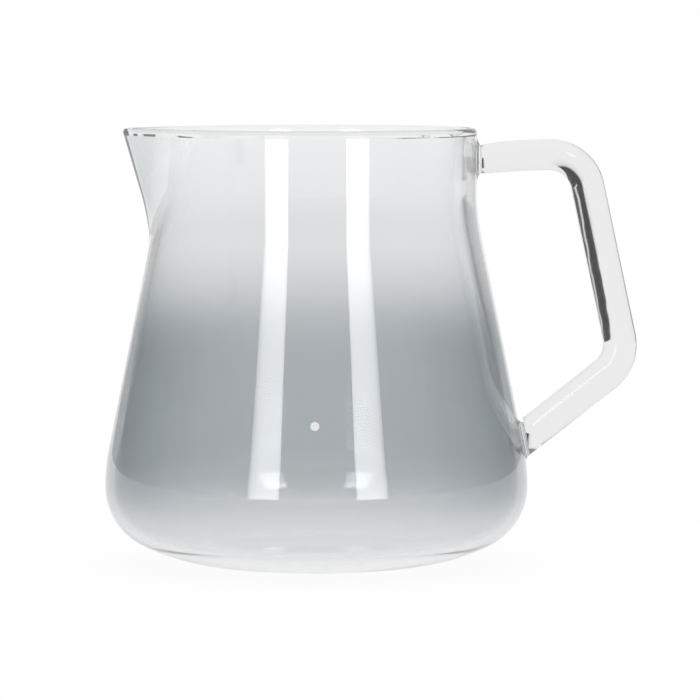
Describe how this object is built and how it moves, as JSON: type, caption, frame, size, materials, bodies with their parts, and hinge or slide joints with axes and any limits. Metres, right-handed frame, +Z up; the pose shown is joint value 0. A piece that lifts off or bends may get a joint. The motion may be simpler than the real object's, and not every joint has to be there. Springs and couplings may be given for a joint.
{
  "type": "coffee server carafe",
  "caption": "Blown glass coffee server with a pinched pouring spout, a smoke-tinted cone, a rounded clear heel and a bent solid glass rod as its handle.",
  "frame": {"origin": "centre of the flat foot, on the jug's axis and on the surface that it stands on", "axes": "+Z up along the jug's axis, +X towards the handle, -X towards the spout, +Y away from the picture's camera"},
  "size_m": [0.1299, 0.1032, 0.106],
  "materials": {
    "smoke_glass": "polished borosilicate glass, smoke tint fading to clear towards the rim and the heel",
    "clear_glass": "polished clear borosilicate glass",
    "white_enamel": "fired white enamel, satin"
  },
  "bodies": {
    "root": {"vessel": "smoke_glass", "handle": "clear_glass", "upper_weld": "clear_glass", "lower_weld": "clear_glass", "fill_mark": "white_enamel"}
  },
  "joints": []
}
